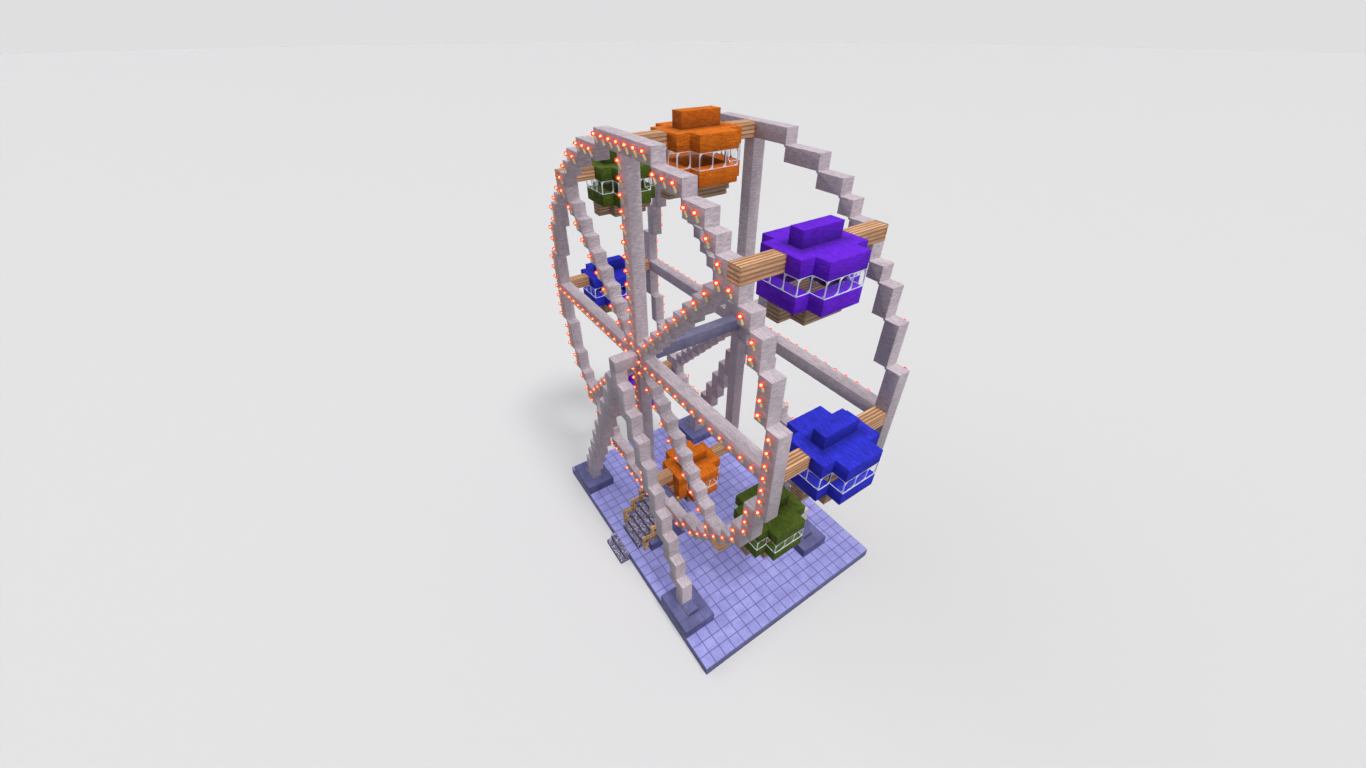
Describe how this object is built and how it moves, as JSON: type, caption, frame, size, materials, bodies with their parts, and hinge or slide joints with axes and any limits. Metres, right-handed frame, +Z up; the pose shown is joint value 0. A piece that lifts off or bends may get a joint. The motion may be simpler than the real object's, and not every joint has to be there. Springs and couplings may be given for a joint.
{
  "type": "ferris wheel",
  "caption": "Ferris wheel with stepped rims and spokes on stepped stands, square cabins that hang level between the rims, and a stair to a boarding landing on a paved plinth.",
  "frame": {"origin": "on the ground, under the middle of the axle", "axes": "+Z up; Y along the axle, with the stair at the front on the -Y side; +X to the right seen from the front"},
  "size_m": [35, 21, 39],
  "materials": {
    "pale_metal": "rough, fine level streaks",
    "axle_metal": "satin",
    "timber": "oiled planks",
    "dark_timber": "oiled planks",
    "window_glass": "clear",
    "orange_paint": "matte",
    "purple_paint": "matte",
    "blue_paint": "matte",
    "green_paint": "matte",
    "paving": "honed",
    "footing_stone": "honed",
    "tread_stone": "rough"
  },
  "bodies": {
    "base": {"plinth": "paving", "lower_steps": "tread_stone", "front_a_frame": "pale_metal", "front_bearing": "pale_metal", "front_left_footing": "footing_stone", "front_right_footing": "footing_stone", "rear_a_frame": "pale_metal", "rear_bearing": "pale_metal", "rear_left_footing": "footing_stone", "rear_right_footing": "footing_stone", "stair": "tread_stone", "left_stair_wall": "footing_stone", "left_railing": "timber", "right_stair_wall": "footing_stone", "right_railing": "timber"},
    "wheel": {"front_rim": "pale_metal", "rear_rim": "pale_metal", "front_spokes": "pale_metal", "rear_spokes": "pale_metal", "axle": "axle_metal", "top_hanger": "timber", "upper_right_hanger": "timber", "right_hanger": "timber", "lower_right_hanger": "timber", "bottom_hanger": "timber", "lower_left_hanger": "timber", "left_hanger": "timber", "upper_left_hanger": "timber"},
    "top_cabin": {"top_cabin_roof": "orange_paint", "top_cabin_windows": "window_glass", "top_cabin_tub": "orange_paint", "top_cabin_floor": "dark_timber"},
    "upper_right_cabin": {"upper_right_cabin_roof": "purple_paint", "upper_right_cabin_windows": "window_glass", "upper_right_cabin_tub": "purple_paint", "upper_right_cabin_floor": "dark_timber"},
    "right_cabin": {"right_cabin_roof": "blue_paint", "right_cabin_windows": "window_glass", "right_cabin_tub": "blue_paint", "right_cabin_floor": "dark_timber"},
    "lower_right_cabin": {"lower_right_cabin_roof": "green_paint", "lower_right_cabin_windows": "window_glass", "lower_right_cabin_tub": "green_paint", "lower_right_cabin_floor": "dark_timber"},
    "bottom_cabin": {"bottom_cabin_roof": "orange_paint", "bottom_cabin_windows": "window_glass", "bottom_cabin_tub": "orange_paint", "bottom_cabin_floor": "dark_timber"},
    "lower_left_cabin": {"lower_left_cabin_roof": "purple_paint", "lower_left_cabin_windows": "window_glass", "lower_left_cabin_tub": "purple_paint", "lower_left_cabin_floor": "dark_timber"},
    "left_cabin": {"left_cabin_roof": "blue_paint", "left_cabin_windows": "window_glass", "left_cabin_tub": "blue_paint", "left_cabin_floor": "dark_timber"},
    "upper_left_cabin": {"upper_left_cabin_roof": "green_paint", "upper_left_cabin_windows": "window_glass", "upper_left_cabin_tub": "green_paint", "upper_left_cabin_floor": "dark_timber"}
  },
  "joints": [
    {"name": "wheel_turn", "type": "hinge", "parent": "base", "child": "wheel", "pos_m": [0, 0, 22.5], "axis": [0, 1, 0], "continuous": true},
    {"name": "top_cabin_level", "type": "hinge", "parent": "wheel", "child": "top_cabin", "pos_m": [0, 0, 37.5], "axis": [0, 1, 0], "continuous": true},
    {"name": "upper_right_cabin_level", "type": "hinge", "parent": "wheel", "child": "upper_right_cabin", "pos_m": [11, 0, 33.5], "axis": [0, 1, 0], "continuous": true},
    {"name": "right_cabin_level", "type": "hinge", "parent": "wheel", "child": "right_cabin", "pos_m": [15, 0, 22.5], "axis": [0, 1, 0], "continuous": true},
    {"name": "lower_right_cabin_level", "type": "hinge", "parent": "wheel", "child": "lower_right_cabin", "pos_m": [11, 0, 11.5], "axis": [0, 1, 0], "continuous": true},
    {"name": "bottom_cabin_level", "type": "hinge", "parent": "wheel", "child": "bottom_cabin", "pos_m": [0, 0, 7.5], "axis": [0, 1, 0], "continuous": true},
    {"name": "lower_left_cabin_level", "type": "hinge", "parent": "wheel", "child": "lower_left_cabin", "pos_m": [-11, 0, 11.5], "axis": [0, 1, 0], "continuous": true},
    {"name": "left_cabin_level", "type": "hinge", "parent": "wheel", "child": "left_cabin", "pos_m": [-15, 0, 22.5], "axis": [0, 1, 0], "continuous": true},
    {"name": "upper_left_cabin_level", "type": "hinge", "parent": "wheel", "child": "upper_left_cabin", "pos_m": [-11, 0, 33.5], "axis": [0, 1, 0], "continuous": true}
  ],
  "couplings": [
    {"joint": "top_cabin_level", "follows": "wheel_turn", "ratio": -1},
    {"joint": "upper_right_cabin_level", "follows": "wheel_turn", "ratio": -1},
    {"joint": "right_cabin_level", "follows": "wheel_turn", "ratio": -1},
    {"joint": "lower_right_cabin_level", "follows": "wheel_turn", "ratio": -1},
    {"joint": "bottom_cabin_level", "follows": "wheel_turn", "ratio": -1},
    {"joint": "lower_left_cabin_level", "follows": "wheel_turn", "ratio": -1},
    {"joint": "left_cabin_level", "follows": "wheel_turn", "ratio": -1},
    {"joint": "upper_left_cabin_level", "follows": "wheel_turn", "ratio": -1}
  ]
}
